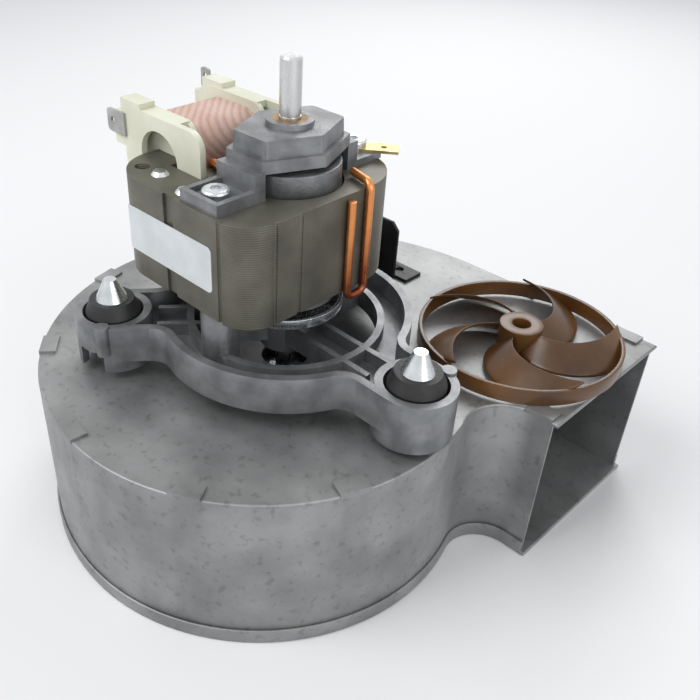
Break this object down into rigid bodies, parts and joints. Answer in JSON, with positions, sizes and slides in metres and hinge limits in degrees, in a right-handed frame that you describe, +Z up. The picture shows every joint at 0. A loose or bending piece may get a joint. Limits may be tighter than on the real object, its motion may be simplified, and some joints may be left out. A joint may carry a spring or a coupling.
{
  "type": "flue gas fan",
  "caption": "Scroll-housed centrifugal flue-gas fan with a rectangular outlet, rubber-mounted shaded-pole motor and a loose ringed cooling fan lying on the duct.",
  "frame": {"origin": "on the shaft's axis in the plane of the housing's base, at the mouth of the inlet collar", "axes": "+Z up along the shaft towards its free end, +X the way the air leaves the outlet duct, -Y the side with the rating label"},
  "size_m": [0.1639, 0.168, 0.1466],
  "materials": {
    "aluminised_sheet": "satin, mottled",
    "dark_sheet": "satin black",
    "zinc_plated_steel": "bright zinc",
    "rubber": "matte",
    "cast_alloy": "die-cast skin",
    "laminated_steel": "oxidised sheet edges",
    "label_stock": "satin",
    "cream_plastic": "satin",
    "winding_tape": "woven tape",
    "tinned_terminal": "tinned",
    "brass": "satin",
    "sintered_bronze": "sintered",
    "copper": "drawn wire",
    "ground_steel": "ground",
    "washer_plastic": "matte",
    "brown_plastic": "translucent gloss"
  },
  "bodies": {
    "housing": {"top_plate": "aluminised_sheet", "scroll_wall": "aluminised_sheet", "bottom_plate": "aluminised_sheet", "rear_bracket": "dark_sheet", "mount_pin_left": "zinc_plated_steel", "mount_pin_right": "zinc_plated_steel", "mount_pin_rear": "zinc_plated_steel", "grommet_left": "rubber", "grommet_right": "rubber", "grommet_rear": "rubber", "motor_carrier": "cast_alloy", "lower_dish": "zinc_plated_steel", "stator_core": "laminated_steel", "coil_yoke": "laminated_steel", "stack_rivets": "zinc_plated_steel", "rating_label": "label_stock", "bobbin": "cream_plastic", "coil": "winding_tape", "terminal_left": "tinned_terminal", "terminal_right": "tinned_terminal", "upper_bracket": "cast_alloy", "earth_tab": "brass", "screw_front": "zinc_plated_steel", "screw_rear": "zinc_plated_steel", "bearing_upper": "sintered_bronze", "bearing_lower": "sintered_bronze", "shading_ring_front": "copper", "shading_ring_rear": "copper"},
    "rotor": {"shaft": "ground_steel", "rotor_core": "laminated_steel", "end_ring_upper": "cast_alloy", "end_ring_lower": "cast_alloy", "thrust_washer_upper": "washer_plastic", "thrust_washer_lower": "washer_plastic", "impeller_hub": "zinc_plated_steel", "impeller_nut": "zinc_plated_steel", "impeller": "aluminised_sheet"},
    "cooling_fan": {"cooling_fan": "brown_plastic"}
  },
  "joints": [
    {"name": "rotor_spin", "type": "hinge", "parent": "housing", "child": "rotor", "pos_m": [0, 0, 0.1], "axis": [0, 0, 1], "continuous": true},
    {"name": "fan_lift_off", "type": "slide", "parent": "housing", "child": "cooling_fan", "axis": [0, 0, 1], "range_m": [0, 0.06]}
  ]
}
